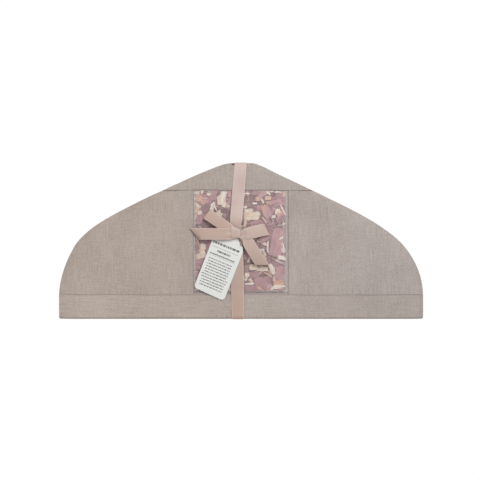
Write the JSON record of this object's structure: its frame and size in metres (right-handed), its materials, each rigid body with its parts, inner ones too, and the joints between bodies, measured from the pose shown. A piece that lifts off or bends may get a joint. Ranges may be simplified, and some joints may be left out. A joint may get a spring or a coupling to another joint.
{
  "type": "cedar sachet",
  "caption": "Shoulder-shaped linen hanger cover with a sheer pouch of cedar chips, tied with a satin ribbon bow and a card tag.",
  "frame": {"origin": "centre of the footprint, on the plane that the cover's back lies on", "axes": "+X across the cover to the right as seen from the front, +Y from the hem towards the hook opening, +Z out of the front"},
  "size_m": [0.457, 0.1958, 0.0222],
  "materials": {
    "linen": "plain-woven linen",
    "linen_band": "plain-woven linen, cut crosswise",
    "lining": "plain cotton",
    "sheer": "organza",
    "satin": "satin ribbon",
    "card": "matt card",
    "heartwood": "split, raw",
    "sapwood": "split, raw"
  },
  "bodies": {
    "cover": {"back_panel": "linen", "back_hem_band": "linen_band", "front_yoke": "linen", "front_left_panel": "linen", "front_right_panel": "linen", "front_hem_band": "linen_band", "seam_left": "linen", "seam_right": "linen", "sheer_window": "sheer", "pouch_lining": "lining", "ribbon_front_upper": "satin", "ribbon_front_lower": "satin", "ribbon_back": "satin", "bow_knot": "satin", "bow_tail_left": "satin", "bow_tail_right": "satin", "bow_loop_left": "satin", "bow_loop_right": "satin", "cedar_chip_01": "sapwood", "cedar_chip_02": "heartwood", "cedar_chip_03": "sapwood", "cedar_chip_04": "heartwood", "cedar_chip_05": "heartwood", "cedar_chip_06": "heartwood", "cedar_chip_07": "heartwood", "cedar_chip_08": "sapwood", "cedar_chip_09": "heartwood", "cedar_chip_10": "sapwood", "cedar_chip_11": "heartwood", "cedar_chip_12": "sapwood", "cedar_chip_13": "heartwood", "cedar_chip_14": "heartwood", "cedar_chip_15": "heartwood", "cedar_chip_16": "heartwood", "cedar_chip_17": "sapwood", "cedar_chip_18": "heartwood", "cedar_chip_19": "sapwood", "cedar_chip_20": "heartwood", "cedar_chip_21": "sapwood", "cedar_chip_22": "heartwood", "cedar_chip_23": "heartwood", "cedar_chip_24": "sapwood", "cedar_block_01": "heartwood", "cedar_block_02": "sapwood", "cedar_block_03": "heartwood", "cedar_block_04": "heartwood", "cedar_block_05": "sapwood", "cedar_block_06": "heartwood", "cedar_block_07": "heartwood", "cedar_block_08": "sapwood", "cedar_block_09": "heartwood", "cedar_block_10": "heartwood", "cedar_block_11": "sapwood", "cedar_block_12": "heartwood"},
    "tie": {"tag_tie": "satin"},
    "tag": {"hang_tag": "card"}
  },
  "joints": [
    {"name": "tag_swing", "type": "hinge", "parent": "cover", "child": "tie", "pos_m": [-0.0117, 0.003, 0.01625], "axis": [-0.016, -0.0387, 0.9991], "range_deg": [-18, 6]},
    {"name": "tag_lift", "type": "hinge", "parent": "tie", "child": "tag", "pos_m": [-0.0117, 0.003, 0.01625], "axis": [-0.9245, 0.3811, 0], "range_deg": [0, 8]}
  ]
}
